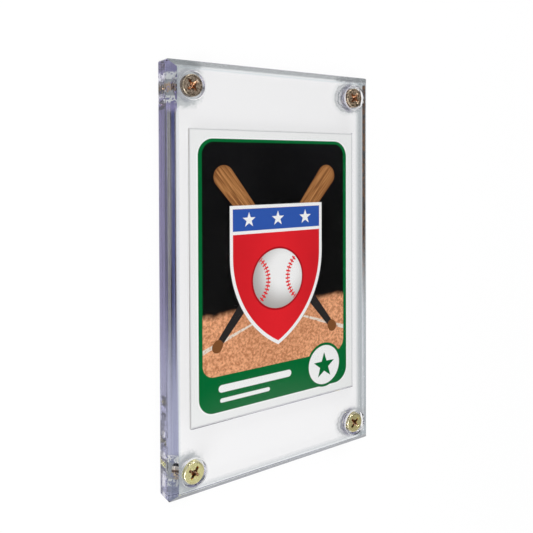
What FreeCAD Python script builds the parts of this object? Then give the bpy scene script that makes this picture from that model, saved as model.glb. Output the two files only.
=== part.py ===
import FreeCAD, Part
import os

# Screwdown card holder: two clear plates, clamped over a trading card by a screw at each corner.
# It is too thin to stand safely on an edge, so it lies on its back. X runs along its width, Y up
# its height, and its front faces +Z. The origin is the middle of its back face.
# Every size is in millimetres.

# Plates
plate_width = 77.8
plate_height = 128.6
plate_corner_radius = 0.8
back_thickness = 4.4
front_thickness = 3.2
bevel_inset = 2.4  # how far the bevel reaches in over the front face
bevel_depth = 2.4  # how far it reaches back down the edge
broken_edge = 0.12  # small flat that takes the sharpness off the sawn edges
air_film = 0.05  # the plates are hard and touch only here and there

# Card and the recess that it lies in, sunk into the back plate
card_width = 63.5
card_height = 88.9
card_thickness = 0.35
card_side_clearance = 0.25
card_face_clearance = 0.05
recess_corner_radius = 0.8

# Screws
screw_inset = 7.5  # from both outer edges to the screw's centre
shank_diameter = 3.5
head_diameter = 6.6
head_height = 2.0
head_rim_chamfer = 0.25
head_sink = 0.1  # how far the head lies below the front face
head_side_clearance = 0.8
sink_rim_chamfer = 0.25  # at the mouth of the counterbore that a head lies in
shank_clearance = 0.2
thread_clearance = 0.04
seat_clearance = 0.02  # between the head and the floor of its counterbore
tip_setback = 0.45  # from the screw's end to the back face
tip_chamfer = 0.5
hole_lead_in = 0.25  # small countersink at both ends of a tapped hole

# Cross recess in a screw's head
cross_span = 4.2
cross_floor_span = 1.5
cross_depth = 1.45
cross_wing_width = 0.85
cross_core_span = 2.3
cross_core_depth = 1.8

# How far a cutter stands out of the face that it cuts
cutter_overshoot = 1.0

# Faces are told apart by their level to within this
level_tolerance = 0.0001

# Each screw's name, the side of the holder that it is on, and how far its cross is turned
screws = {
    "screw_top_left": (-1, 1, 38.0),
    "screw_top_right": (1, 1, 49.0),
    "screw_bottom_left": (-1, -1, 56.0),
    "screw_bottom_right": (1, -1, 43.0),
}

# Levels that follow from the sizes above, up from the back face
back_parting_z = back_thickness
front_parting_z = back_parting_z + air_film
front_face_z = front_parting_z + front_thickness
recess_floor_z = back_parting_z - card_thickness - 2 * card_face_clearance
head_face_z = front_face_z - head_sink
head_seat_z = head_face_z - head_height - seat_clearance
screw_tip_z = tip_setback
middle = FreeCAD.Vector(0, 0, 0)
up_axis = FreeCAD.Vector(0, 0, 1)


def rectangle(width, height, z):
    """A sharp-cornered rectangle about the holder's centre line, at level z."""
    right = width / 2
    top = height / 2
    corners = [(-right, -top), (right, -top), (right, top), (-right, top), (-right, -top)]
    return Part.makePolygon([FreeCAD.Vector(x, y, z) for x, y in corners])


def rounded_slab(width, height, corner_radius, low_z, high_z):
    """A slab between two levels, with its four upright edges rounded."""
    slab = Part.Face(rectangle(width, height, low_z)).extrude(up_axis * (high_z - low_z))
    corner_edges = [edge for edge in slab.Edges if edge.BoundBox.ZLength > (high_z - low_z) / 2]
    return slab.makeFillet(corner_radius, corner_edges)


def break_outline(solid, level_z):
    """Takes the sharpness off the outer edge of the flat face that lies at a level."""
    outline = []
    for face in solid.Faces:
        box = face.BoundBox
        if box.ZLength < level_tolerance and abs(box.ZMin - level_z) < level_tolerance:
            outline = face.OuterWire.Edges
    return solid.makeChamfer(broken_edge, outline)


def screw_centre(side_x, side_y, z):
    """The point on a corner screw's axis at a level."""
    x = side_x * (plate_width / 2 - screw_inset)
    y = side_y * (plate_height / 2 - screw_inset)
    return FreeCAD.Vector(x, y, z)


def hole(side_x, side_y, diameter, low_z, high_z):
    """A round cutter at a corner screw's place, between two levels."""
    return Part.makeCylinder(diameter / 2, high_z - low_z, screw_centre(side_x, side_y, low_z), up_axis)


def flare(side_x, side_y, low_diameter, high_diameter, low_z, high_z):
    """A round cutter at a corner screw's place that widens or narrows from one level to the other."""
    start = screw_centre(side_x, side_y, low_z)
    return Part.makeCone(low_diameter / 2, high_diameter / 2, high_z - low_z, start, up_axis)


def bevelled_bar(width, length):
    """A bar along Y as thick as the front plate, bevelled along both long edges of its face."""
    outer = width / 2
    inner = outer - bevel_inset
    foot_z = front_face_z - bevel_depth
    right_half = [(outer, front_parting_z), (outer, foot_z), (inner, front_face_z)]
    left_half = [(-x, z) for x, z in reversed(right_half)]
    points = [FreeCAD.Vector(x, -length / 2, z) for x, z in right_half + left_half]
    section = Part.makePolygon(points + [points[0]])
    return Part.Face(section).extrude(FreeCAD.Vector(0, length, 0))


def make_front_plate():
    """The front plate: mitred bevel round its face, and a counterbored hole at each corner."""
    slab = rounded_slab(plate_width, plate_height, plate_corner_radius, front_parting_z, front_face_z)
    side_bevels = bevelled_bar(plate_width, plate_height)
    end_bevels = bevelled_bar(plate_height, plate_width)
    end_bevels.rotate(middle, up_axis, 90)
    plate = break_outline(slab.common(side_bevels).common(end_bevels), front_parting_z)
    low_z = front_parting_z - cutter_overshoot
    high_z = front_face_z + cutter_overshoot
    bore_diameter = shank_diameter + 2 * shank_clearance
    sink_diameter = head_diameter + 2 * head_side_clearance
    rim_low_z = front_face_z - sink_rim_chamfer
    mouth_diameter = sink_diameter + 2 * (high_z - rim_low_z)
    for side_x, side_y, turn in screws.values():
        plate = plate.cut(hole(side_x, side_y, bore_diameter, low_z, high_z))
        plate = plate.cut(hole(side_x, side_y, sink_diameter, head_seat_z, high_z))
        plate = plate.cut(flare(side_x, side_y, sink_diameter, mouth_diameter, rim_low_z, high_z))
    return plate


def make_tapped_hole(side_x, side_y):
    """The cutter for a tapped hole through the back plate, with a small lead-in at both ends."""
    bore = shank_diameter + 2 * thread_clearance
    wide = bore + 2 * hole_lead_in
    cutter = hole(side_x, side_y, bore, -cutter_overshoot, back_parting_z + cutter_overshoot)
    low_flare = flare(side_x, side_y, wide, bore, 0, hole_lead_in)
    high_flare = flare(side_x, side_y, bore, wide, back_parting_z - hole_lead_in, back_parting_z)
    return cutter.fuse([low_flare, high_flare])


def make_back_plate():
    """The back plate: the card's recess in its front, and a tapped hole at each corner."""
    plate = rounded_slab(plate_width, plate_height, plate_corner_radius, 0, back_parting_z)
    plate = break_outline(plate, back_parting_z)
    plate = break_outline(plate, 0)
    recess_width = card_width + 2 * card_side_clearance
    recess_height = card_height + 2 * card_side_clearance
    recess = rounded_slab(recess_width, recess_height, recess_corner_radius, recess_floor_z, back_parting_z)
    plate = plate.cut(recess)
    for side_x, side_y, turn in screws.values():
        plate = plate.cut(make_tapped_hole(side_x, side_y))
    return plate


def make_card():
    """The card, clear of the recess all round."""
    card_back_z = recess_floor_z + card_face_clearance
    return Part.Face(rectangle(card_width, card_height, card_back_z)).extrude(up_axis * card_thickness)


def make_cross_wing(turn):
    """One of the two tapering slots that cross in a screw's head, with its mouth at z = 0."""
    outer = cross_span / 2
    inner = cross_floor_span / 2
    side = -cross_wing_width / 2
    corners = [(-outer, 0), (outer, 0), (inner, -cross_depth), (-inner, -cross_depth), (-outer, 0)]
    outline = Part.makePolygon([FreeCAD.Vector(x, side, z) for x, z in corners])
    wing = Part.Face(outline).extrude(FreeCAD.Vector(0, cross_wing_width, 0))
    wing.rotate(middle, up_axis, turn)
    return wing


def make_cross_recess():
    """The cutter for a cross recess: two crossed slots and a pointed square core between them."""
    half = cross_core_span / 2
    corners = [(-half, 0), (0, -half), (half, 0), (0, half), (-half, 0)]
    mouth = Part.makePolygon([FreeCAD.Vector(x, y, 0) for x, y in corners])
    point = Part.Vertex(0, 0, -cross_core_depth)
    core = Part.makeLoft([mouth, point], True, True)
    core.rotate(middle, up_axis, 45)
    return make_cross_wing(0).fuse([make_cross_wing(90), core])


def make_screw(side_x, side_y, cross_turn):
    """One screw, turned about its axis from a half section, then given its cross recess."""
    head_radius = head_diameter / 2
    shank_radius = shank_diameter / 2
    length = head_face_z - screw_tip_z
    half_section = [
        (0, 0),
        (head_radius - head_rim_chamfer, 0),
        (head_radius, -head_rim_chamfer),
        (head_radius, -head_height),
        (shank_radius, -head_height),
        (shank_radius, tip_chamfer - length),
        (shank_radius - tip_chamfer, -length),
        (0, -length),
        (0, 0),
    ]
    outline = Part.makePolygon([FreeCAD.Vector(radius, 0, z) for radius, z in half_section])
    screw = Part.Face(outline).revolve(middle, up_axis, 360)
    screw = screw.cut(make_cross_recess())
    screw.rotate(middle, up_axis, cross_turn)
    screw.translate(screw_centre(side_x, side_y, head_face_z))
    return screw


def export(name, shape):
    """Writes one node's solid and prints what it is."""
    solid = shape.Solids[0]
    if len(shape.Solids) != 1 or not solid.isValid():
        raise ValueError(name + " isn't one sound solid")
    box = solid.BoundBox
    size = " x ".join(f"{side:.2f}" for side in (box.XLength, box.YLength, box.ZLength))
    print(f"{name}: {solid.Volume:.1f} mm3, {size} mm")
    solid.exportStep(os.path.join("parts", name + ".step"))


os.makedirs("parts", exist_ok=True)
export("back_plate", make_back_plate())
export("front_plate", make_front_plate())
export("trading_card", make_card())
for screw_name, (screw_side_x, screw_side_y, screw_turn) in screws.items():
    export(screw_name, make_screw(screw_side_x, screw_side_y, screw_turn))
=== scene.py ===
import math

import bmesh
import bpy
from mathutils import Matrix, Vector


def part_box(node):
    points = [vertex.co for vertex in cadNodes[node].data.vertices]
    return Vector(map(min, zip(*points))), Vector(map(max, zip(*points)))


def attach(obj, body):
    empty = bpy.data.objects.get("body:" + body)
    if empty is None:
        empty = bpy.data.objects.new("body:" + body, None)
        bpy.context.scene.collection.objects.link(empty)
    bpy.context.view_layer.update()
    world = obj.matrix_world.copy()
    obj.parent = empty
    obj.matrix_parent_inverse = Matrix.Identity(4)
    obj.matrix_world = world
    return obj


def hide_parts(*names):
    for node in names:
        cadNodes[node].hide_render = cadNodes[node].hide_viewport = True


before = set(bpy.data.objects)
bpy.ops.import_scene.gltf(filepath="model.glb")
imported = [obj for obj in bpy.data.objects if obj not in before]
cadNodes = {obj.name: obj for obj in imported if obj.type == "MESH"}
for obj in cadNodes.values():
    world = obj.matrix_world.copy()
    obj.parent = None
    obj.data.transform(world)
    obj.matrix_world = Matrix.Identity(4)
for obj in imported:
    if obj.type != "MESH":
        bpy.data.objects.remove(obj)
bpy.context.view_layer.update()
mm = 0.001


# Small helpers

def report(stage):
    print("card holder: " + stage)


def addNode(kind, inputs=(), tree=None, **settings):
    # goes into the tree of the sockets that feed it, or else into the one that is given
    feeds = {key: value for key, value in dict(inputs).items() if isinstance(value, bpy.types.NodeSocket)}
    for socket in feeds.values():
        tree = socket.id_data
    node = tree.nodes.new(kind)
    for name, value in settings.items():
        setattr(node, name, value)
    for key, value in dict(inputs).items():
        if key in feeds:
            tree.links.new(value, node.inputs[key])
        else:
            node.inputs[key].default_value = value
    return node


def calc(operation, first, second=0.0, third=0.0):
    inputs = {0: first, 1: second, 2: third}
    return addNode("ShaderNodeMath", inputs, operation=operation).outputs[0]


def minus(first, second):
    return calc("SUBTRACT", first, second)


def inverse(mask):
    return minus(1.0, mask)


def product(*masks):
    result = masks[0]
    for mask in masks[1:]:
        result = calc("MULTIPLY", result, mask)
    return result


def ramp(value, low, high, start=0.0, end=1.0):
    # a smooth step from start, at low, to end, at high
    inputs = {"Value": value, "From Min": low, "From Max": high, "To Min": start, "To Max": end}
    return addNode("ShaderNodeMapRange", inputs, interpolation_type="SMOOTHSTEP").outputs[0]


def fall(value, low, high):
    return ramp(value, low, high, 1.0, 0.0)


def between(value, levels):
    # rises from 0 to 1 over the first two levels, and falls back over the last two
    return product(ramp(value, *levels[:2]), fall(value, *levels[2:]))


def rgb(red, green, blue):
    return (red, green, blue, 1.0)


def paint(mask, under, over):
    # lays one colour over another where the mask is 1
    inputs = {0: mask, 6: under, 7: over}
    return addNode("ShaderNodeMix", inputs, data_type="RGBA").outputs[2]


def bands(value, stops):
    # a strip of colours along a value, from (value, colour) stops
    low, high = stops[0][0], stops[-1][0]
    share = calc("DIVIDE", minus(value, low), high - low)
    node = addNode("ShaderNodeValToRGB", {0: share})
    elements = node.color_ramp.elements
    while len(elements) < len(stops):
        elements.new(1.0)
    for element, (level, colour) in zip(elements, stops):
        element.position = (level - low) / (high - low)
        element.color = (*colour, 1.0)
    return node.outputs[0]


def noise(place, scale, detail, roughness=0.5, distortion=0.0):
    inputs = {"Vector": place, "Scale": scale, "Detail": detail, "Roughness": roughness,
              "Distortion": distortion}
    return addNode("ShaderNodeTexNoise", inputs).outputs[0]


def combine(*axes):
    return addNode("ShaderNodeCombineXYZ", dict(enumerate(axes))).outputs[0]


def split(vector):
    return addNode("ShaderNodeSeparateXYZ", {0: vector}).outputs


def distance(across, up):
    offset = combine(across, up)
    return addNode("ShaderNodeVectorMath", {0: offset}, operation="LENGTH").outputs["Value"]


def placeInMillimetres(tree):
    place = addNode("ShaderNodeTexCoord", tree=tree).outputs["Object"]
    return addNode("ShaderNodeVectorMath", {0: place, "Scale": 1 / mm}, operation="SCALE").outputs[0]


def newGroup(name, inputs, outputs):
    # inputs are names with their defaults, a point or a number, and every output is a number
    group = bpy.data.node_groups.new(name, "ShaderNodeTree")
    for socketName, default in inputs.items():
        kind = "NodeSocketVector" if isinstance(default, tuple) else "NodeSocketFloat"
        socket = group.interface.new_socket(socketName, in_out="INPUT", socket_type=kind)
        socket.default_value = default
    for socketName in outputs:
        group.interface.new_socket(socketName, in_out="OUTPUT", socket_type="NodeSocketFloat")
    start = group.nodes.new("NodeGroupInput").outputs
    end = group.nodes.new("NodeGroupOutput").inputs
    return group, start, end


def placeGroup(group, inputs):
    return addNode("ShaderNodeGroup", inputs, node_tree=group).outputs


def newMaterial(name):
    material = bpy.data.materials.new(name)
    material.use_nodes = True
    material.node_tree.nodes.clear()
    return material, material.node_tree


def addObject(name, data):
    piece = bpy.data.objects.new(name, data)
    bpy.context.scene.collection.objects.link(piece)
    return piece


# Camera, at the photograph's angle

cameraView = {
    "place": (-113.570, 33.378, 167.510),  # millimetres
    "yaw": 33.994,  # degrees, turned from straight down on the front towards +X
    "pitch": 0.903,
    "roll": -0.150,
    "lens": 41.442,
    "sensor": 36,
    "shiftUp": -0.17115,
    "nearest": 0.005,  # metres
}


def makeCamera():
    yaw, pitch, roll = (math.radians(cameraView[name]) for name in ("yaw", "pitch", "roll"))
    levelRight = Vector((math.cos(yaw), 0, math.sin(yaw)))
    levelForward = Vector((math.sin(yaw), 0, -math.cos(yaw)))
    levelUp = Vector((0, 1, 0))
    forward = levelForward * math.cos(pitch) - levelUp * math.sin(pitch)
    pitchedUp = levelUp * math.cos(pitch) + levelForward * math.sin(pitch)
    right = levelRight * math.cos(roll) + pitchedUp * math.sin(roll)
    up = pitchedUp * math.cos(roll) - levelRight * math.sin(roll)
    data = bpy.data.cameras.new("photoCamera")
    data.lens = cameraView["lens"]
    data.sensor_width = cameraView["sensor"]
    data.shift_y = cameraView["shiftUp"]
    data.clip_start = cameraView["nearest"]
    camera = addObject("photoCamera", data)
    turn = Matrix((right, up, -forward)).transposed().to_4x4()
    camera.matrix_world = Matrix.Translation(Vector(cameraView["place"]) * mm) @ turn
    bpy.context.scene.camera = camera


makeCamera()
report("camera placed")


# An effect that several materials share

def makeSurfaceMarks():
    # faint scratches that run along X of the given place, and soft blotches of handling
    tree, start, end = newGroup("surfaceMarks", {
        "Place": (0, 0, 0), "Scratch Scale": 1.0, "Stretch": 20.0, "Blotch Scale": 0.1,
    }, ("Scratches", "Blotches"))
    axes = split(start["Place"])
    lengthwise = combine(calc("DIVIDE", axes[0], start["Stretch"]), axes[1], axes[2])
    grain = noise(lengthwise, start["Scratch Scale"], 3.0)
    cloud = noise(start["Place"], start["Blotch Scale"], 4.0)
    tree.links.new(ramp(grain, 0.35, 0.65), end["Scratches"])
    tree.links.new(ramp(cloud, 0.35, 0.65), end["Blotches"])
    return tree


surfaceMarks = makeSurfaceMarks()


# Clear plastic. Lengths are in millimetres. A colour here is the share of light that the surface lets
# through; most of them are painted light and shade, the reflections, glints and shade that the edges and
# faces show. Four levels in a row say where a mask rises, from and to, and where it falls.

plasticLook = {
    "refraction": 1.49,
    "edgeRoughness": 0.045,
    "sawn": (0.10, 0.20),  # in from the outline, where the sawn edge ends
    "mirrorTint": rgb(0.50, 0.50, 0.52),
    "depthTint": rgb(0.333, 0.30, 0.533),
    "depthDensity": 5.0,  # per metre
    "clear": rgb(1, 1, 1),
    "half": (38.9, 64.3),  # from the middle to the outer faces
    "bevel": 2.4,
    "bevelFoot": 5.25,  # level at which the bevel starts
    "parting": 4.4,
    "face": 7.65,
    "screwInset": 7.5,
    "marks": {"Scratch Scale": 1.6, "Stretch": 60.0},
    "sparkle": (0.75, 1.5, 0.5, 1.2),  # scale, detail, roughness and distortion of its noise
    "longEdge": {
        # painted light and shade along the edge: level above the back face, and the share there
        "bands": (
            (0.0, (0.165, 0.145, 0.33)), (0.8, (0.165, 0.145, 0.33)), (1.1, (0.15, 0.122, 0.30)),
            (3.9, (0.15, 0.122, 0.30)), (4.1, (0.12, 0.11, 0.22)), (5.4, (0.12, 0.11, 0.24)),
            (5.50, (0.22, 0.22, 0.22)), (6.10, (0.22, 0.22, 0.22)), (6.15, (0.02, 0.015, 0.015)),
            (6.33, (0.02, 0.015, 0.015)), (6.40, (0.07, 0.08, 0.21)), (7.05, (0.07, 0.08, 0.21)),
            (7.10, (0.06, 0.04, 0.03)), (7.26, (0.10, 0.07, 0.05)), (7.34, (0.62, 0.66, 0.72)),
            (7.65, (0.95, 0.95, 0.96)),
        ),
        "upperFrom": (48.0, 51.0),  # above this the bands of the front plate run together
        "upper": rgb(0.33, 0.30, 0.53),
        "fadeFrom": (-42.0, 0.0),  # and so do those of both plates, painted paler, towards the lower edge
        "fade": 0.9,
        "lowerFront": rgb(0.44, 0.46, 0.63),
        "lowerBack": rgb(0.43, 0.44, 0.60),
        "streak": rgb(0.80, 0.80, 0.94),
        "streaks": 0.18,
        # painted reflections of the screws in an edge: how much further in than its axis each is seen,
        # its reach
        "upperScrewIn": 0.9,
        "lowerScrewIn": 2.0,
        "screwReach": (2.2, 2.8),
        "brownSeen": rgb(0.62, 0.46, 0.34),
        "brownDark": rgb(0.10, 0.06, 0.04),
        "greySeen": rgb(0.52, 0.53, 0.55),
        "upperPatch": (2.9, 3.6),
        "lowerPatchLevel": 7.05,
        "lowerPatchHalf": 2.6,
        # along the brighter lower screw's image, from its lower end to its upper
        "lowerScrewBands": (
            (-2.6, (0.80, 0.66, 0.52)), (-0.5, (0.80, 0.66, 0.52)), (-0.3, (0.14, 0.09, 0.06)),
            (0.2, (0.20, 0.12, 0.08)), (0.5, (0.95, 0.84, 0.72)), (1.3, (0.95, 0.88, 0.80)),
            (1.6, (0.02, 0.02, 0.02)), (2.6, (0.02, 0.02, 0.02)),
        ),
        "glints": (2.2, 2.5, 4.0, 4.8),  # painted glints beside each screw, by distance along the edge
        # level up the holder and half length of each painted glint low on the back plate
        "lowGlints": ((-45.2, 0.8), (-52.6, 1.3), (-59.6, 1.2), (-63.0, 0.7)),
        "lowGlintLevels": (1.0, 1.2, 3.3, 3.5),  # above the back face
    },
    # painted shade in bands up the bevel at either end: share of the way up it, and the share of light
    # there
    "upperEnd": (
        (0.0, (0.42, 0.40, 0.50)), (0.06, (0.43, 0.45, 0.46)), (0.66, (0.43, 0.45, 0.46)),
        (0.80, (0.72, 0.75, 0.76)), (1.0, (0.90, 0.91, 0.92)),
    ),
    "lowerEnd": (
        (0.0, (0.18, 0.18, 0.30)), (0.10, (0.16, 0.18, 0.22)), (0.80, (0.18, 0.20, 0.22)),
        (0.92, (0.45, 0.47, 0.48)), (1.0, (0.70, 0.74, 0.74)),
    ),
    "faces": {
        "crease": rgb(0.83, 0.87, 0.89),  # painted shade on the front face just inside the bevel
        "creaseReach": (0.1, 0.8),
        # along the lower crease, painted shade with a paler painted line in it
        "lowCreaseBands": (
            (0.0, (0.80, 0.82, 0.84)), (0.20, (0.92, 0.95, 0.95)), (0.50, (0.92, 0.95, 0.95)),
            (0.75, (0.78, 0.81, 0.82)), (1.15, (0.84, 0.86, 0.87)), (2.2, (1.0, 1.0, 1.0)),
        ),
        # the dark line that the right edge mirrors, over its upper half
        "lineAcross": (34.7, 34.9, 36.05, 36.25),
        "lineUp": (-22.0, 12.0, 61.0, 61.9),
        "line": rgb(0.14, 0.13, 0.13),
        "lineBrown": rgb(0.32, 0.17, 0.10),
        # painted shade towards the outline of the back face: distance in from that outline, and the share
        # there
        "leftRimShade": (
            (0.0, (0.66, 0.71, 0.76)), (0.5, (0.60, 0.65, 0.68)), (1.3, (0.53, 0.56, 0.57)),
            (3.6, (1.0, 1.0, 1.0)),
        ),
        "rightRimShade": (
            (0.0, (0.56, 0.60, 0.63)), (0.5, (0.50, 0.54, 0.56)), (1.3, (0.42, 0.45, 0.46)),
            (2.3, (0.64, 0.67, 0.68)), (3.6, (1.0, 1.0, 1.0)),
        ),
        # what the screws take from the light behind them, with faint rings
        "screwShade": rgb(0.54, 0.57, 0.58),
        "rightScrewShade": rgb(0.38, 0.40, 0.42),
        "rightShadeReach": (4.4, 6.0),
        "haloReach": (4.4, 7.2),
        "ringRate": 4.4,  # radians of a ring's wave per millimetre
        "ringDepth": 0.12,
        "rightRingDepth": 0.36,  # more than that on the right
        # painted shade on the front plate's underside, to the left of each screw
        "underHeadShade": rgb(0.54, 0.53, 0.60),
        "underHeadReach": (4.5, 5.6),
    },
}


def placesOnPlates(tree):
    # where a point is on the plates, as distances and masks
    look = plasticLook
    place = placeInMillimetres(tree)
    across, up, height = split(place)
    fromSide, fromEnd = (
        minus(half, calc("ABSOLUTE", axis)) for half, axis in zip(look["half"], (across, up)))
    foot, face, parting, bevel = look["bevelFoot"], look["face"], look["parting"], look["bevel"]
    sideFirst = ramp(minus(fromEnd, fromSide), -0.02, 0.02)
    at = {
        "across": across, "up": up, "height": height, "fromSide": fromSide, "fromEnd": fromEnd,
        "upper": ramp(up, -0.1, 0.1),
        "lower": fall(up, -0.1, 0.1),
        "right": ramp(across, -5.0, 5.0),
        "onFront": ramp(height, parting, parting + 0.05),
        "onFace": ramp(height, face - 0.05, face - 0.01),
        "onBack": fall(height, 0.02, 0.06),
        "endFirst": inverse(sideFirst),
        "sparkle": noise(place, *look["sparkle"]),
    }
    onBevel = ramp(height, foot - 0.05, foot)
    for name, first, inward in (("longEdge", sideFirst, fromSide), ("endEdge", at["endFirst"], fromEnd)):
        sloping = product(onBevel, fall(inward, bevel - 0.04, bevel))
        at[name] = product(first, calc("MAXIMUM", fall(inward, *look["sawn"]), sloping))
    return at


def lightByLongEdge(at):
    # painted light and shade in bands that run along the edge, broken up beside the screws
    look = plasticLook["longEdge"]
    along = combine(at["up"], at["height"], at["across"])
    scratches = placeGroup(surfaceMarks, {"Place": along, **plasticLook["marks"]})["Scratches"]
    side = bands(at["height"], look["bands"])
    side = paint(product(ramp(at["up"], *look["upperFrom"]), at["onFront"]), side, look["upper"])
    lower = paint(at["onFront"], look["lowerBack"], look["lowerFront"])
    side = paint(ramp(at["up"], *look["fadeFrom"], look["fade"], 0.0), side, lower)
    side = paint(product(scratches, look["streaks"]), side, look["streak"])

    # painted reflections of the screws: broken brown patches in grey by the upper ones, a round one by
    # the lower
    seenAt = calc("MULTIPLY_ADD", at["lower"], look["lowerScrewIn"] - look["upperScrewIn"],
                  plasticLook["screwInset"] + look["upperScrewIn"])
    aboveScrew = minus(at["fromEnd"], seenAt)
    pastScrew = calc("ABSOLUTE", aboveScrew)
    image = product(ramp(pastScrew, *look["screwReach"], 0.95, 0.0), ramp(at["sparkle"], 0.34, 0.44))
    brown = paint(ramp(scratches, 0.35, 0.65), look["brownDark"], look["brownSeen"])
    wavyPast = calc("MULTIPLY_ADD", at["sparkle"], 4.0, pastScrew)
    upperTone = paint(fall(wavyPast, *look["upperPatch"]), look["greySeen"], brown)
    fromPatch = distance(minus(at["height"], look["lowerPatchLevel"]),
                         calc("DIVIDE", pastScrew, look["lowerPatchHalf"]))
    lowerTone = paint(fall(fromPatch, 0.92, 1.0), look["greySeen"],
                      bands(aboveScrew, look["lowerScrewBands"]))
    side = paint(image, side, paint(at["upper"], lowerTone, upperTone))

    # painted glints: clear spots beside the screws and low on the back plate
    glint = product(between(pastScrew, look["glints"]), ramp(at["sparkle"], 0.47, 0.50))
    wavyUp = calc("MULTIPLY_ADD", at["sparkle"], 2.4, minus(at["up"], 1.2))
    onBackPlate = between(at["height"], look["lowGlintLevels"])
    for middle, half in look["lowGlints"]:
        offset = calc("ABSOLUTE", minus(wavyUp, middle))
        spot = product(fall(offset, half - 0.1, half + 0.1), onBackPlate)
        glint = calc("MAXIMUM", glint, spot)
    return paint(glint, side, plasticLook["clear"])


def lightByEndBevel(at):
    # painted shade in bands up the bevels at the ends
    look = plasticLook
    upBevel = calc("DIVIDE", minus(at["height"], look["bevelFoot"]), look["face"] - look["bevelFoot"])
    return paint(at["upper"], bands(upBevel, look["lowerEnd"]), bands(upBevel, look["upperEnd"]))


def lightByFaces(at, passed):
    # painted shade and a pale painted line inside the bevel, a dark line that the right edge mirrors, and
    # painted shade towards the back's outline
    look = plasticLook["faces"]
    nearest = calc("MINIMUM", at["fromSide"], at["fromEnd"])
    inner = minus(nearest, plasticLook["bevel"])
    # painted shade just inside the bevel, and along the lower crease a paler painted line
    tone = paint(ramp(inner, *look["creaseReach"]), look["crease"], plasticLook["clear"])
    wobblyInner = calc("MULTIPLY_ADD", at["sparkle"], 0.5, minus(inner, 0.25))
    tone = paint(product(at["endFirst"], at["lower"]), tone, bands(wobblyInner, look["lowCreaseBands"]))
    passed = paint(product(at["onFace"], ramp(inner, -0.02, 0.02)), passed, tone)
    line = product(at["onFace"], between(at["across"], look["lineAcross"]),
                   between(at["up"], look["lineUp"]))
    tone = paint(ramp(at["sparkle"], 0.44, 0.56), look["line"], look["lineBrown"])
    passed = paint(line, passed, tone)
    # painted shade near the back face's outline, deeper on the right
    rim = paint(at["right"], bands(at["fromSide"], look["leftRimShade"]),
                bands(at["fromSide"], look["rightRimShade"]))
    return paint(at["onBack"], passed, rim)


def lightByScrews(at, passed):
    # a grey halo with faint rings on the back face, longer along the holder than across it
    look = plasticLook["faces"]
    inset, parting = plasticLook["screwInset"], plasticLook["parting"]
    aside = minus(at["fromSide"], inset)
    along = minus(calc("MULTIPLY_ADD", at["lower"], 0.8, at["fromEnd"]), inset)
    inward = product(along, ramp(at["across"], -5.0, 5.0, 1.0, 1.16))
    outward = product(along, ramp(at["across"], -5.0, 5.0, 0.72, 1.0))
    toScrew = distance(calc("MAXIMUM", aside, product(aside, 0.5)), calc("MAXIMUM", inward, outward))
    uneven = calc("MULTIPLY_ADD", at["sparkle"], 2.0, minus(toScrew, 1.0))
    uneven = calc("MULTIPLY_ADD", at["lower"], 0.8, uneven)
    wave = calc("SINE", product(uneven, look["ringRate"]))
    wave = calc("MULTIPLY_ADD", wave, 0.5, 0.5)
    ringDepth = calc("MULTIPLY_ADD", at["right"], look["rightRingDepth"], look["ringDepth"])
    rings = inverse(product(wave, ringDepth))
    halo = product(fall(uneven, *look["haloReach"]), rings, at["onBack"])

    # painted shade on the front plate's underside, to the left of each screw
    leftward = product(aside, calc("MULTIPLY_ADD", at["right"], 2.0, -1.0))
    toAxis = distance(aside, minus(at["fromEnd"], inset))
    underside = between(at["height"], [parting + gap for gap in (0.02, 0.04, 0.06, 0.08)])
    underHeadShade = product(underside, ramp(leftward, -1.6, 2.0),
                        fall(toAxis, *look["underHeadReach"]),
                        calc("MULTIPLY_ADD", at["right"], 0.5, 0.5))
    passed = paint(underHeadShade, passed, look["underHeadShade"])
    rightInner = product(at["right"], fall(toScrew, *look["rightShadeReach"]))
    shade = paint(rightInner, look["screwShade"], look["rightScrewShade"])
    return addNode("ShaderNodeMix", {0: halo, 6: passed, 7: shade},
                   data_type="RGBA", blend_type="DARKEN").outputs[2]


def makePlastic():
    look = plasticLook
    material, tree = newMaterial("clearPlastic")
    at = placesOnPlates(tree)
    # the left edge shows light that comes in by the right one, so only it gets the painted light and
    # shade
    leftEdge = product(at["longEdge"], fall(at["across"], -1.0, 1.0))
    passed = paint(leftEdge, look["clear"], lightByLongEdge(at))
    passed = paint(at["endEdge"], passed, lightByEndBevel(at))
    passed = lightByFaces(at, passed)
    passed = lightByScrews(at, passed)
    # glass passes the square root of its colour, so the share of light is squared first
    colour = addNode("ShaderNodeVectorMath", {0: passed, 1: passed}, operation="MULTIPLY").outputs[0]
    nearest = calc("MINIMUM", at["fromSide"], at["fromEnd"])
    plastic = addNode("ShaderNodeBsdfPrincipled", {
        "Base Color": colour, "Roughness": ramp(nearest, *look["sawn"], look["edgeRoughness"], 0.0),
        "IOR": look["refraction"], "Transmission Weight": 1.0, "Specular Tint": look["mirrorTint"]})
    letThrough = addNode("ShaderNodeBsdfTransparent", tree=tree)
    shadowRay = addNode("ShaderNodeLightPath", tree=tree).outputs["Is Shadow Ray"]
    surface = addNode("ShaderNodeMixShader", {
        0: shadowRay, 1: plastic.outputs[0], 2: letThrough.outputs[0]})
    depth = addNode("ShaderNodeVolumeAbsorption", {
        "Color": look["depthTint"], "Density": look["depthDensity"]}, tree)
    addNode("ShaderNodeOutputMaterial", {"Surface": surface.outputs[0], "Volume": depth.outputs[0]})
    return material


clearPlastic = makePlastic()
for plateName in ("back_plate", "front_plate"):
    cadNodes[plateName].data.materials[0] = clearPlastic
report("clear plastic on both plates")


# The print on the card, drawn from plain shapes. Places are across and up from the card's middle, in
# millimetres. A panel is its middle, size and corner radius, and a disk or star its middle and radius.

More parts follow.
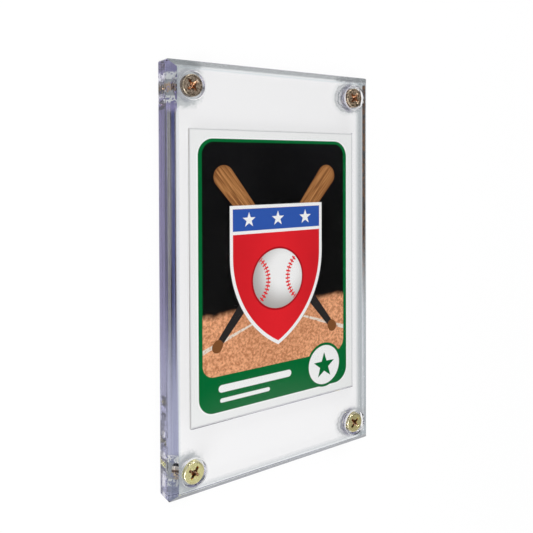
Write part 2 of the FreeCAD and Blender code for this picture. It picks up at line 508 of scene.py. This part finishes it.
cardPrint = {
    "stock": rgb(0.86, 0.87, 0.86),
    "halo": rgb(0.95, 0.95, 0.94),
    "stockShade": rgb(0.78, 0.79, 0.78),
    "core": rgb(0.62, 0.60, 0.55),
    "edgeLine": rgb(0.60, 0.60, 0.61),
    "green": rgb(0.0, 0.130, 0.030),
    "night": rgb(0.001, 0.001, 0.001),
    "nightGlow": rgb(0.003, 0.003, 0.004),
    "ground": rgb(0.92, 0.45, 0.24),
    "groundDark": rgb(0.48, 0.19, 0.085),
    "chalk": rgb(0.80, 0.72, 0.62),
    "red": rgb(0.76, 0.018, 0.026),
    "redDark": rgb(0.38, 0.006, 0.012),
    "blue": rgb(0.030, 0.095, 0.40),
    "white": rgb(0.90, 0.90, 0.89),
    "ballShade": rgb(0.42, 0.40, 0.38),
    "wood": rgb(0.48, 0.22, 0.075),
    "woodDark": rgb(0.20, 0.075, 0.025),
    "grip": rgb(0.02, 0.018, 0.018),
    "softness": 0.08,  # over which an edge of the print blends
    "cloud": (0.12, 5.0),  # scale and detail of its noise
    "speckle": (1.3, 6.0),
    "lamps": ((-17, 33), (17, 33)),
    "horizon": -14.0,
    # a bar is the two points at its ends and its radius at each, here with a mirror image beside it
    "chalkLine": (((0, -13), (40, -27)), (0.12, 0.9)),
    "bat": (((-22, -21), (20, 30)), (1.1, 3.6)),
    "knob": (((-22.6, -21.7), (-22.2, -21.2)), (1.8, 1.7)),
    "gripEnd": (0.27, 0.28),  # share of the way along a bat
    "woodTurn": 50,  # degrees, of the grain
    "woodStretch": (9.0, 0.45, 1),
    # each side of the shield is an arc, and runs straight up from the shoulder
    "shieldArc": 33.0,
    "shieldArcMiddle": 15.0,  # this far beyond the card's middle line
    "shieldShoulder": 5.0,
    "shieldTop": 21.0,
    "shieldRim": 1.1,
    "chiefFrom": (12.4, 12.6),
    "chiefLine": (((-22, 12.5), (22, 12.5)), (0.5, 0.5)),
    "chiefStars": (((-11.0, 16.4), 2.5), ((0.0, 16.4), 2.5), ((11.0, 16.4), 2.5)),
    "ball": ((0.0, -3.0), 9.6),
    "ballLight": 2.5,  # how far across and up from the ball's middle it is brightest
    "seamOut": 12.4,  # from the ball's middle to the middle of a seam's arc
    "seamRadius": 8.6,
    "stitchRate": 46.0,  # radians of the stitches' wave per radian of the arc
    "frame": ((0, 0), (57.8, 83.2), 5.2),
    "window": ((0, 5.0), (55.1, 71.2), 3.9),
    "lowerBars": (
        (((-21, -34.6), (4, -34.6)), (1.15, 1.15)), (((-21, -38.2), (-4, -38.2)), (0.65, 0.65)),
    ),
    "badge": ((19.0, -34.5), 6.6),
    "badgeStar": ((19.0, -34.8), 4.6),
    "card": ((0, 0), (63.5, 88.9), 0.05),
    "backPanel": ((0, 0), (56.5, 81.9), 3.0),
    "backDisk": ((0, 6), 12.0),
    "backStar": ((0, 5.4), 9.0),
    "marks": {"Scratch Scale": 3.0, "Stretch": 3.0, "Blotch Scale": 0.08},
    "fibre": {"Strength": 0.05, "Distance": 0.00002},
    "roughness": (0.34, 0.42),
}

flatPlace = {"Across": 0.0, "Up": 0.0}
withMiddle = {**flatPlace, "Middle Across": 0.0, "Middle Up": 0.0}


def fromMiddle(start):
    return [minus(start[axis], start["Middle " + axis]) for axis in flatPlace]


def makePanelShape():
    # how far outside a rounded rectangle a point is, less than 0 inside it
    sizes = {"Width": 10.0, "Height": 10.0, "Corner": 1.0}
    tree, start, end = newGroup("roundedPanel", {**withMiddle, **sizes}, ["Outside"])
    reach = []
    for offset, size in zip(fromMiddle(start), ("Width", "Height")):
        half = minus(product(start[size], 0.5), start["Corner"])
        reach.append(minus(calc("ABSOLUTE", offset), half))
    corner = distance(*[calc("MAXIMUM", value, 0.0) for value in reach])
    inside = calc("MINIMUM", calc("MAXIMUM", *reach), 0.0)
    outside = minus(calc("ADD", corner, inside), start["Corner"])
    tree.links.new(outside, end["Outside"])
    return tree


def makeDiskShape():
    tree, start, end = newGroup("printedDisk", {**withMiddle, "Radius": 1.0}, ["Outside"])
    away = distance(*fromMiddle(start))
    tree.links.new(minus(away, start["Radius"]), end["Outside"])
    return tree


def makeBarShape():
    # a bar between two points, with round ends, that may taper from one to the other
    ends = {"From": (0, 0, 0), "To": (1, 0, 0), "Start Radius": 1.0, "End Radius": 1.0}
    tree, start, end = newGroup("taperedBar", {**flatPlace, **ends}, ["Outside", "Along"])

    def vector(operation, first, second, key=1):
        inputs = {0: first, key: second}
        outputs = addNode("ShaderNodeVectorMath", inputs, operation=operation).outputs
        return outputs["Value" if operation in ("DOT_PRODUCT", "DISTANCE") else "Vector"]

    run = vector("SUBTRACT", start["To"], start["From"])
    offset = vector("SUBTRACT", combine(start["Across"], start["Up"]), start["From"])
    share = calc("DIVIDE", vector("DOT_PRODUCT", offset, run), vector("DOT_PRODUCT", run, run))
    along = calc("MINIMUM", calc("MAXIMUM", share, 0.0), 1.0)
    away = vector("DISTANCE", offset, vector("SCALE", run, along, "Scale"))
    widening = minus(start["End Radius"], start["Start Radius"])
    radius = calc("MULTIPLY_ADD", widening, along, start["Start Radius"])
    tree.links.new(minus(away, radius), end["Outside"])
    tree.links.new(along, end["Along"])
    return tree


def makeStarShape():
    # how far outside a five-pointed star a point is, measured along the line from its middle
    tree, start, end = newGroup("printedStar", {**withMiddle, "Radius": 1.0, "Waist": 0.4}, ["Outside"])
    point = math.radians(36)
    across, up = fromMiddle(start)
    angle = calc("ADD", calc("ARCTAN2", across, up), 4 * math.pi + point)
    folded = minus(calc("MODULO", angle, 2 * point), point)
    folded = calc("ABSOLUTE", folded)
    rest = minus(point, folded)
    low = product(start["Radius"], start["Waist"])
    top = product(start["Radius"], low, math.sin(point))
    bottom = calc("ADD", product(start["Radius"], calc("SINE", folded)),
                  product(low, calc("SINE", rest)))
    away = distance(across, up)
    tree.links.new(minus(away, calc("DIVIDE", top, bottom)), end["Outside"])
    return tree


panelShape = makePanelShape()
diskShape = makeDiskShape()
barShape = makeBarShape()
starShape = makeStarShape()


def inked(outside, grow=0.0):
    # 1 inside the shape, 0 outside, with a soft edge
    return fall(outside, grow - cardPrint["softness"], grow + cardPrint["softness"])


def drawn(at, group, middle, inputs):
    middles = {"Middle Across": middle[0], "Middle Up": middle[1]}
    return placeGroup(group, {"Across": at["across"], "Up": at["up"], **middles, **inputs})["Outside"]


def panel(at, middle, size, corner):
    return drawn(at, panelShape, middle, {"Width": size[0], "Height": size[1], "Corner": corner})


def disk(at, middle, radius):
    return drawn(at, diskShape, middle, {"Radius": radius})


def star(at, middle, radius):
    return drawn(at, starShape, middle, {"Radius": radius})


def bar(at, ends, radii, side=1):
    # side is -1 for the mirror image
    start, end = ((across * side, up, 0) for across, up in ends)
    return placeGroup(barShape, {
        "Across": at["across"], "Up": at["up"], "From": start, "To": end,
        "Start Radius": radii[0], "End Radius": radii[1]})


def drawSurround(at):
    # a dark sky with two soft lamps, over a speckled tan ground with chalk lines
    look = cardPrint
    glow = calc("ADD", *[ramp(disk(at, lamp, 0.0), 2.0, 24.0, 0.8, 0.0) for lamp in look["lamps"]])
    picture = paint(product(glow, at["cloud"]), look["night"], look["nightGlow"])
    soil = paint(ramp(at["speckle"], 0.30, 0.70), look["groundDark"], look["ground"])
    shadow = ramp(disk(at, (0, -10), 0.0), 8.0, 26.0, 0.35, 0.0)
    soil = paint(shadow, soil, look["groundDark"])
    horizon = calc("MULTIPLY_ADD", at["cloud"], 5.0, look["horizon"])
    isGround = fall(minus(at["up"], horizon), -1.2, 1.2)
    picture = paint(isGround, picture, soil)
    for side in (-1, 1):
        line = bar(at, *look["chalkLine"], side)["Outside"]
        dusty = product(inked(line), ramp(at["speckle"], 0.25, 0.55), isGround)
        picture = paint(dusty, picture, look["chalk"])
    return picture


def drawBats(at, picture):
    look = cardPrint
    for side in (-1, 1):
        bat = bar(at, *look["bat"], side)
        knob = bar(at, *look["knob"], side)["Outside"]
        lengthwise = addNode("ShaderNodeMapping", {
            "Vector": at["place"], "Rotation": (0, 0, math.radians(look["woodTurn"] * side)),
            "Scale": look["woodStretch"]}, vector_type="TEXTURE").outputs[0]
        grain = noise(lengthwise, 1.0, 3.0)
        wood = paint(ramp(grain, 0.35, 0.65), look["wood"], look["woodDark"])
        rounded = paint(ramp(bat["Outside"], -1.2, 0.0, 0.0, 0.7), wood, look["woodDark"])
        taped = paint(fall(bat["Along"], *look["gripEnd"]), rounded, look["grip"])
        picture = paint(inked(bat["Outside"]), picture, taped)
        picture = paint(inked(knob), picture, look["woodDark"])
    return picture


def drawShield(at, picture):
    # red, with a white rim and a blue chief that carries three stars
    look = cardPrint
    mirrored = calc("ABSOLUTE", at["across"])
    belowShoulder = calc("MINIMUM", minus(at["up"], look["shieldShoulder"]), 0.0)
    toSide = distance(calc("ADD", mirrored, look["shieldArcMiddle"]), belowShoulder)
    shield = calc("MAXIMUM", minus(toSide, look["shieldArc"]), minus(at["up"], look["shieldTop"]))
    inRim = inked(shield, -look["shieldRim"])
    shade = product(ramp(mirrored, 0.0, 15.0, 0.0, 0.8), calc("MULTIPLY_ADD", at["cloud"], 0.5, 0.1))
    cloth = paint(shade, look["red"], look["redDark"])
    picture = paint(inked(shield), picture, look["white"])
    picture = paint(inRim, picture, cloth)
    chief = product(inRim, ramp(at["up"], *look["chiefFrom"]))
    picture = paint(chief, picture, look["blue"])
    line = inked(bar(at, *look["chiefLine"])["Outside"])
    picture = paint(product(inRim, line), picture, look["white"])
    for place in look["chiefStars"]:
        picture = paint(inked(star(at, *place)), picture, look["white"])
    return picture


def drawBall(at, picture):
    # white, with two curved rows of stitches
    look = cardPrint
    (across, up), radius = look["ball"]
    ball = disk(at, (across, up), radius)
    brightest = (across + look["ballLight"], up + look["ballLight"])
    shading = ramp(disk(at, brightest, 0.0), 4.0, 13.0)
    leather = paint(shading, look["white"], look["ballShade"])
    picture = paint(inked(ball, 0.6), picture, look["redDark"])
    picture = paint(inked(ball), picture, leather)
    for side in (-1, 1):
        middle = (across + look["seamOut"] * side, up)
        seam = calc("ABSOLUTE", disk(at, middle, look["seamRadius"]))
        angle = calc("ARCTAN2", minus(at["up"], middle[1]), minus(at["across"], middle[0]))
        wave = calc("SINE", product(angle, look["stitchRate"]))
        stitch = product(ramp(wave, 0.0, 0.4), inked(seam, 0.85))
        thread = calc("MAXIMUM", inked(seam, 0.16), stitch)
        picture = paint(product(thread, inked(ball, -0.2)), picture, look["red"])
    return picture


def drawFrame(at, picture):
    # green, with a badge and two plain bars in its lower band, and a grey line just inside the card's
    # outline
    look = cardPrint
    outside = panel(at, *look["frame"])
    colour = paint(inked(outside, 0.45), look["stock"], look["halo"])
    colour = paint(inked(outside), colour, look["green"])
    colour = paint(inked(panel(at, *look["window"])), colour, picture)
    for shape in look["lowerBars"]:
        colour = paint(inked(bar(at, *shape)["Outside"]), colour, look["white"])
    badge = disk(at, *look["badge"])
    colour = paint(inked(badge, 0.9), colour, look["green"])
    colour = paint(inked(badge), colour, look["white"])
    colour = paint(inked(star(at, *look["badgeStar"])), colour, look["green"])
    edge = ramp(panel(at, *look["card"]), -0.55, -0.10)
    return paint(edge, colour, look["edgeLine"])


def drawBack(at):
    # a green border, and a star on a disk
    look = cardPrint
    outside = panel(at, *look["backPanel"])
    colour = paint(inked(outside), look["stock"], look["green"])
    colour = paint(inked(outside, -1.0), colour, look["stockShade"])
    colour = paint(inked(disk(at, *look["backDisk"])), colour, look["green"])
    return paint(inked(star(at, *look["backStar"])), colour, look["stock"])


def makeCardPrint():
    look = cardPrint
    material, tree = newMaterial("printedCard")
    place = placeInMillimetres(tree)
    across, up, height = split(place)
    at = {"place": place, "across": across, "up": up}
    for name in ("cloud", "speckle"):
        at[name] = noise(place, *look[name])
    colour = drawSurround(at)
    for draw in (drawBats, drawShield, drawBall, drawFrame):
        colour = draw(at, colour)
    low, high = (corner.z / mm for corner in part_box("trading_card"))
    colour = paint(ramp(height, high - 0.03, high - 0.01), look["core"], colour)
    colour = paint(fall(height, low + 0.01, low + 0.03), colour, drawBack(at))
    marks = placeGroup(surfaceMarks, {"Place": place, **look["marks"]})
    fibre = addNode("ShaderNodeBump", {"Height": marks["Scratches"], **look["fibre"]})
    roughness = ramp(marks["Blotches"], 0.0, 1.0, *look["roughness"])
    coated = addNode("ShaderNodeBsdfPrincipled", {
        "Base Color": colour, "Roughness": roughness, "IOR": 1.45, "Specular IOR Level": 0.1,
        "Normal": fibre.outputs[0]})
    addNode("ShaderNodeOutputMaterial", {"Surface": coated.outputs[0]})
    return material


cadNodes["trading_card"].data.materials[0] = makeCardPrint()
report("print on the card")


# Screws: a lathed body with a cross recess, and a thread swept along a helix. Lengths are in millimetres.

screw = {
    "axis": (31.4, 56.8),  # from the holder's middle
    "corners": ((-1, 1, 38.0), (1, 1, 49.0), (-1, -1, 56.0), (1, -1, 43.0)),  # and the turn of each cross
    "faceZ": 7.55,
    "tipZ": 0.45,
    "headRadius": 3.30,
    "headHeight": 2.0,
    "rimRound": 0.30,
    "footChamfer": 0.10,
    "faceRings": (1.2, 2.6),
    "coreRadius": 1.40,
    "neckFillet": 0.15,
    "tipRadius": 1.0,
    "tipChamfer": 0.5,
    "segments": 72,
    "threadRadius": 1.75,
    "pitch": 0.8,
    "neck": 0.25,  # plain shank between the head and the thread
    "threadSegments": 40,
    # halves of the mouth and of the floor of each cutter, and its depth
    "wing": ((2.1, 0.425), (0.75, 0.34), 1.45),
    "core": ((1.15 / math.sqrt(2),) * 2, (0.12, 0.12), 1.8),  # its mouth is 2.3 from corner to corner
    "cutterLift": 0.2,
    "sharpFrom": 32,  # degrees
}


def screwProfile():
    # half section of one screw from the middle of its face, round the head and down to its tip
    radius, rim, depth = screw["headRadius"], screw["rimRound"], screw["headHeight"]
    core, foot, fillet = screw["coreRadius"], screw["footChamfer"], screw["neckFillet"]
    length = screw["faceZ"] - screw["tipZ"]
    points = [(ring, 0) for ring in (0, *screw["faceRings"])]
    for degrees in range(90, -1, -15):
        angle = math.radians(degrees)
        points.append((radius - rim + rim * math.cos(angle), -rim + rim * math.sin(angle)))
    points += [(radius, foot - depth), (radius - foot, -depth), (core + fillet, -depth)]
    points += [(core, -depth - fillet), (core, screw["tipChamfer"] - length)]
    return points + [(screw["tipRadius"], -length), (0, -length)]


def meshFrom(shape, name):
    bmesh.ops.recalc_face_normals(shape, faces=shape.faces)
    mesh = bpy.data.meshes.new(name)
    shape.to_mesh(mesh)
    shape.free()
    return mesh


def latheBody():
    shape = bmesh.new()
    count = screw["segments"]
    rings = []
    for radius, z in screwProfile():
        angles = [2 * math.pi * step / count for step in range(count if radius else 1)]
        reach = radius * mm
        spots = [(reach * math.cos(angle), reach * math.sin(angle), z * mm) for angle in angles]
        rings.append([shape.verts.new(spot) for spot in spots])
    for upper, lower in zip(rings, rings[1:]):
        for step in range(count):
            following = (step + 1) % count
            if len(upper) == 1:
                shape.faces.new((upper[0], lower[step], lower[following]))
            elif len(lower) == 1:
                shape.faces.new((upper[step], lower[0], upper[following]))
            else:
                shape.faces.new((upper[step], lower[step], lower[following], upper[following]))
    return meshFrom(shape, "screwBody")


def makeCutter(topHalf, bottomHalf, depth, turn):
    # narrows from its mouth, a little above the head's face, to its floor
    lift = screw["cutterLift"]
    mouthHalf = [top + lift * (top - bottom) / depth for top, bottom in zip(topHalf, bottomHalf)]
    shape = bmesh.new()
    rings = []
    for halfX, halfY, z in ((*mouthHalf, lift), (*bottomHalf, -depth)):
        ring = []
        for signX, signY in ((-1, -1), (1, -1), (1, 1), (-1, 1)):
            spot = Vector((signX * halfX, signY * halfY, z)) * mm
            spot.rotate(Matrix.Rotation(math.radians(turn), 3, "Z"))
            ring.append(shape.verts.new(spot))
        rings.append(ring)
    top, bottom = rings
    shape.faces.new(top)
    shape.faces.new(bottom[::-1])
    for step in range(4):
        following = (step + 1) % 4
        shape.faces.new((top[step], bottom[step], bottom[following], top[following]))
    return addObject("crossCutter", meshFrom(shape, "crossCutter"))


def evaluatedMesh(piece):
    bpy.context.view_layer.update()
    graph = bpy.context.evaluated_depsgraph_get()
    return bpy.data.meshes.new_from_object(piece.evaluated_get(graph))


def cutCross(body):
    # the wings and the core are cut one after the other, so that each cutter is a plain solid
    for cutterShape in ((*screw["wing"], 0), (*screw["wing"], 90), (*screw["core"], 0)):
        cutter = makeCutter(*cutterShape)
        cut = body.modifiers.new("cross", "BOOLEAN")
        cut.operation = "DIFFERENCE"
        cut.solver = "EXACT"
        cut.object = cutter
        result = evaluatedMesh(body)
        body.modifiers.clear()
        body.data = result
        bpy.data.objects.remove(cutter)


def makeScrewTree(body, brass, sizes):
    # puts a body with its thread on every corner point, each turned by its own angle
    tree = bpy.data.node_groups.new("fourScrews", "GeometryNodeTree")
    for direction in ("INPUT", "OUTPUT"):
        tree.interface.new_socket("Geometry", in_out=direction, socket_type="NodeSocketGeometry")
    for name, size in sizes.items():
        socket = tree.interface.new_socket(name, in_out="INPUT", socket_type="NodeSocketFloat")
        socket.default_value = size
    start = tree.nodes.new("NodeGroupInput").outputs
    end = tree.nodes.new("NodeGroupOutput").inputs

    turns = calc("DIVIDE", start["Thread Length"], start["Pitch"])
    drop = product(start["Thread Length"], -1.0)
    spiral = addNode("GeometryNodeCurveSpiral", {
        "Resolution": screw["threadSegments"], "Rotations": turns, "Start Radius": start["Core Radius"],
        "End Radius": start["Core Radius"], "Height": drop}).outputs[0]
    depth = minus(start["Thread Radius"], start["Core Radius"])
    ridge = addNode("GeometryNodeCurvePrimitiveCircle", {"Resolution": 4, "Radius": depth}).outputs[0]
    thread = addNode("GeometryNodeCurveToMesh", {
        "Curve": spiral, "Profile Curve": ridge, "Fill Caps": True}).outputs[0]
    below = combine(0.0, 0.0, product(start["Thread Start"], -1.0))
    lowered = addNode("GeometryNodeTransform", {"Geometry": thread, "Translation": below}).outputs[0]
    bodyInfo = addNode("GeometryNodeObjectInfo", {"Object": body}, tree).outputs["Geometry"]
    joined = tree.nodes.new("GeometryNodeJoinGeometry")
    for geometry in (bodyInfo, lowered):
        tree.links.new(geometry, joined.inputs[0])
    turn = addNode("GeometryNodeInputNamedAttribute", {"Name": "turn"}, tree, data_type="FLOAT")
    placed = addNode("GeometryNodeInstanceOnPoints", {
        "Points": start["Geometry"], "Instance": joined.outputs[0],
        "Rotation": combine(0.0, 0.0, turn.outputs["Attribute"])}).outputs[0]
    real = addNode("GeometryNodeRealizeInstances", {"Geometry": placed}).outputs[0]
    finished = addNode("GeometryNodeSetMaterial", {"Geometry": real, "Material": brass}).outputs[0]
    tree.links.new(finished, end["Geometry"])
    return tree


brassLook = {
    "brass": rgb(0.97, 0.94, 0.47),
    "tarnish": rgb(0.62, 0.53, 0.27),
    "upperShadeDark": rgb(0.07, 0.045, 0.033),  # painted shade: the upper screws are browner, darker and patchy, for the dark surround they mirror
    "upperLeftShadeTone": rgb(0.47, 0.37, 0.29),
    "upperRightShadeTone": rgb(0.80, 0.60, 0.42),
    "crossShade": rgb(0.62, 0.30, 0.14),
    "crossGlint": rgb(0.98, 0.70, 0.50),
    "crossDarkShade": rgb(0.05, 0.03, 0.02),
    "worn": rgb(0.92, 0.84, 0.62),
    "roughness": (0.16, 0.34),
    "upperRoughness": 0.12,  # more than that on the upper screws
    "marks": {"Scratch Scale": 5.0, "Stretch": 1.0, "Blotch Scale": 2.6},
    "rings": (2.6, 3.0, 0.7),  # scale, detail and roughness of its noise
    "fine": (3.0, 2.0),
    "ringDepth": 0.00004,  # metres
    "nicks": {"Strength": 0.25, "Distance": 0.00003},
}


def makeBrass():
    look = brassLook
    material, tree = newMaterial("turnedBrass")
    place = placeInMillimetres(tree)
    across, up, height = split(place)
    # each corner's screw is lathed about its own axis, so distances are taken from that
    radius = distance(*[
        minus(calc("ABSOLUTE", axis), middle)
        for axis, middle in zip((across, up), screw["axis"])])
    marks = placeGroup(surfaceMarks, {"Place": place, **look["marks"]})
    rings = noise(combine(radius, height), *look["rings"])
    fine = noise(place, *look["fine"])
    upper = ramp(up, -10.0, 10.0)
    right = ramp(across, -10.0, 10.0)
    tarnished = calc("MULTIPLY_ADD", right, 0.45, product(marks["Blotches"], 0.5))
    colour = paint(tarnished, look["brass"], look["tarnish"])
    patches = ramp(calc("ADD", rings, fine), 0.92, 1.02)
    # painted shade on the upper screws, for the dark surround that they mirror
    upperShadeDark = paint(patches, paint(right, look["upperLeftShadeTone"], look["upperRightShadeTone"]), look["upperShadeDark"])
    colour = paint(product(upper, 0.97), colour, upperShadeDark)

    # painted shade in the cross, orange and near black, with painted glints, and a worn rim
    face, foot, rim = screw["faceZ"], screw["faceZ"] - screw["headHeight"], screw["headRadius"]
    inCross = product(fall(height, face - 0.45, face - 0.08),
                      ramp(height, foot - 0.02, foot + 0.02), fall(radius, rim - 0.9, rim - 0.6))
    recessShadeAndGlint = paint(ramp(marks["Blotches"], 0.35, 0.60), look["crossShade"], look["crossDarkShade"])
    recessShadeAndGlint = paint(ramp(fine, 0.54, 0.60), recessShadeAndGlint, look["crossGlint"])
    colour = paint(inCross, colour, recessShadeAndGlint)
    worn = product(ramp(radius, rim - 0.42, rim - 0.22), ramp(height, face - 0.5, face - 0.3),
                   ramp(upper, 0.0, 1.0, 1.0, 0.3), marks["Scratches"])
    colour = paint(worn, colour, look["worn"])

    roughness = ramp(marks["Scratches"], 0.0, 1.0, *look["roughness"])
    roughness = calc("MULTIPLY_ADD", upper, look["upperRoughness"], roughness)
    ringStrength = calc("MULTIPLY_ADD", upper, 0.5, 0.30)
    turned = addNode("ShaderNodeBump", {
        "Strength": ringStrength, "Distance": look["ringDepth"], "Height": rings})
    nicked = addNode("ShaderNodeBump", {
        "Height": marks["Blotches"], "Normal": turned.outputs[0], **look["nicks"]})
    metal = addNode("ShaderNodeBsdfPrincipled", {
        "Base Color": colour, "Metallic": 1.0, "Roughness": roughness, "Normal": nicked.outputs[0]})
    addNode("ShaderNodeOutputMaterial", {"Surface": metal.outputs[0]})
    return material


def makeScrews():
    body = addObject("screwBody", latheBody())
    cutCross(body)
    points = bpy.data.meshes.new("screwPoints")
    halfWidth, halfHeight = screw["axis"]
    spots = [
        Vector((x * halfWidth, y * halfHeight, screw["faceZ"])) * mm for x, y, turn in screw["corners"]]
    points.from_pydata(spots, [], [])
    turnOf = points.attributes.new("turn", "FLOAT", "POINT")
    turnOf.data.foreach_set("value", [math.radians(turn) for x, y, turn in screw["corners"]])
    holder = addObject("screws", points)
    threadStart = screw["headHeight"] + screw["neck"]
    threadEnd = screw["faceZ"] - screw["tipZ"] - screw["tipChamfer"]
    sizes = {
        "Pitch": screw["pitch"] * mm, "Core Radius": screw["coreRadius"] * mm,
        "Thread Radius": screw["threadRadius"] * mm, "Thread Start": threadStart * mm,
        "Thread Length": (threadEnd - threadStart) * mm,
    }
    tree = makeScrewTree(body, makeBrass(), sizes)
    modifier = holder.modifiers.new("fourScrews", "NODES")
    modifier.node_group = tree
    for item in tree.interface.items_tree:
        if item.in_out == "INPUT" and item.name in sizes:
            modifier[item.identifier] = sizes[item.name]
    result = evaluatedMesh(holder)
    holder.modifiers.clear()
    holder.data = result
    bpy.data.objects.remove(body)
    holder.data.shade_smooth()
    holder.data.set_sharp_from_angle(angle=math.radians(screw["sharpFrom"]))
    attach(holder, "root")
    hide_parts("screw_top_left", "screw_top_right", "screw_bottom_left", "screw_bottom_right")
    return holder


screws = makeScrews()
report(f"screws with their threads, {len(screws.data.polygons)} faces")


# Floor, light and surround. Lengths are in metres.

studio = {
    "floorHalf": 2.0,
    "floorLevel": -0.00015,
    "floorTones": (rgb(0.73, 0.73, 0.73), rgb(0.72, 0.72, 0.722)),
    "floorGrain": (40.0, 3.0),  # scale and detail of its noise
    "floorGlow": 0.85,  # how much of the white that the eye sees is the background's own
    "overhead": rgb(0.45, 0.45, 0.4545),
    "wall": rgb(0.94, 0.94, 0.95),
    "wallHeight": (0.20, 0.40),  # share of a direction's length that is upward
    # each panel is its direction, the degrees from it at which it starts to fade and ends, and its tone
    "palePanel": ((0.36, -0.08, 0.93), 17, 22, rgb(0.95, 0.94, 0.95)),  # that the long edges show
    # for the front face and the upper screws, darkest where the card mirrors them
    "darkPanels": (
        ((0.54, 0.10, 0.83), 22, 32, rgb(0.17, 0.17, 0.17)),
        ((0.55, -0.04, 0.83), 10, 14, rgb(0.012, 0.012, 0.012)),
        ((0.53, -0.24, 0.80), 9, 12.5, rgb(0.012, 0.012, 0.012)),
    ),
    "darkFrom": (0.460, 0.485),  # X over Z of a direction
    "brightPanel": ((0.51, -0.53, 0.69), 9, 14, rgb(0.70, 0.69, 0.67)),  # for the lower screws
    # place, size and power of each lamp, which looks at the origin
    "lamps": {
        "keyLamp": ((-0.55, -0.45, 0.75), (0.6, 0.6), 10.0),
        "fillLamp": ((0.1, 0.75, 0.65), (0.7, 0.4), 5.6),
    },
    # light runs across the plates by inner reflection
    "bounces": {"max_bounces": 72, "glossy_bounces": 64, "transmission_bounces": 64,
                "transparent_max_bounces": 24},
}


def makeFloor():
    half, level = studio["floorHalf"], studio["floorLevel"]
    mesh = bpy.data.meshes.new("floor")
    corners = [(x * half, y * half, level) for x, y in ((-1, -1), (1, -1), (1, 1), (-1, 1))]
    mesh.from_pydata(corners, [], [(0, 1, 2, 3)])
    floor = addObject("floor", mesh)
    material, tree = newMaterial("paleFloor")
    place = addNode("ShaderNodeTexCoord", tree=tree).outputs["Object"]
    grain = noise(place, *studio["floorGrain"])
    matt = addNode("ShaderNodeBsdfDiffuse", {"Color": paint(grain, *studio["floorTones"])})
    white = addNode("ShaderNodeEmission", {"Color": rgb(1, 1, 1), "Strength": 1.0}, tree)
    path = addNode("ShaderNodeLightPath", tree=tree).outputs
    seen = calc("MAXIMUM", path["Is Camera Ray"],
                calc("MAXIMUM", path["Is Glossy Ray"], path["Is Transmission Ray"]))
    share = product(seen, studio["floorGlow"])
    mixed = addNode("ShaderNodeMixShader", {0: share, 1: matt.outputs[0], 2: white.outputs[0]})
    addNode("ShaderNodeOutputMaterial", {"Surface": mixed.outputs[0]})
    mesh.materials.append(material)


def makeWorld():
    world = bpy.data.worlds.new("studio")
    world.use_nodes = True
    tree = world.node_tree
    tree.nodes.clear()
    generated = addNode("ShaderNodeTexCoord", tree=tree).outputs["Generated"]
    toward = addNode("ShaderNodeVectorMath", {0: generated}, operation="NORMALIZE").outputs[0]
    axes = split(toward)

    def addPanel(colour, direction, inner, outer, tone, *masks):
        aim = Vector(direction).normalized()
        nearness = addNode("ShaderNodeVectorMath", {0: toward, 1: aim},
                           operation="DOT_PRODUCT").outputs["Value"]
        inPanel = ramp(nearness, math.cos(math.radians(outer)), math.cos(math.radians(inner)))
        return paint(product(inPanel, *masks), colour, tone)

    colour = paint(fall(axes[2], *studio["wallHeight"]), studio["overhead"], studio["wall"])
    colour = addPanel(colour, *studio["palePanel"])
    beside = ramp(calc("DIVIDE", axes[0], axes[2]), *studio["darkFrom"])
    for shape in studio["darkPanels"]:
        colour = addPanel(colour, *shape, beside)
    colour = addPanel(colour, *studio["brightPanel"])
    back = addNode("ShaderNodeBackground", {"Color": colour, "Strength": 1.0})
    addNode("ShaderNodeOutputWorld", {"Surface": back.outputs[0]})
    bpy.context.scene.world = world


def makeLamp(name, place, size, power):
    data = bpy.data.lights.new(name, "AREA")
    data.shape = "RECTANGLE"
    data.size, data.size_y = size
    data.energy = power
    data.cycles.use_multiple_importance_sampling = False  # it isn't mirrored: the surround is
    lamp = addObject(name, data)
    lamp.location = place
    lamp.rotation_euler = (-Vector(place)).to_track_quat("-Z", "Y").to_euler()


makeFloor()
makeWorld()
for lampName, lampShape in studio["lamps"].items():
    makeLamp(lampName, *lampShape)
scene = bpy.context.scene
scene.view_settings.view_transform = "Standard"
for limit, count in studio["bounces"].items():
    setattr(scene.cycles, limit, count)
scene.cycles.caustics_reflective = False
scene.cycles.caustics_refractive = False
report("studio lit")
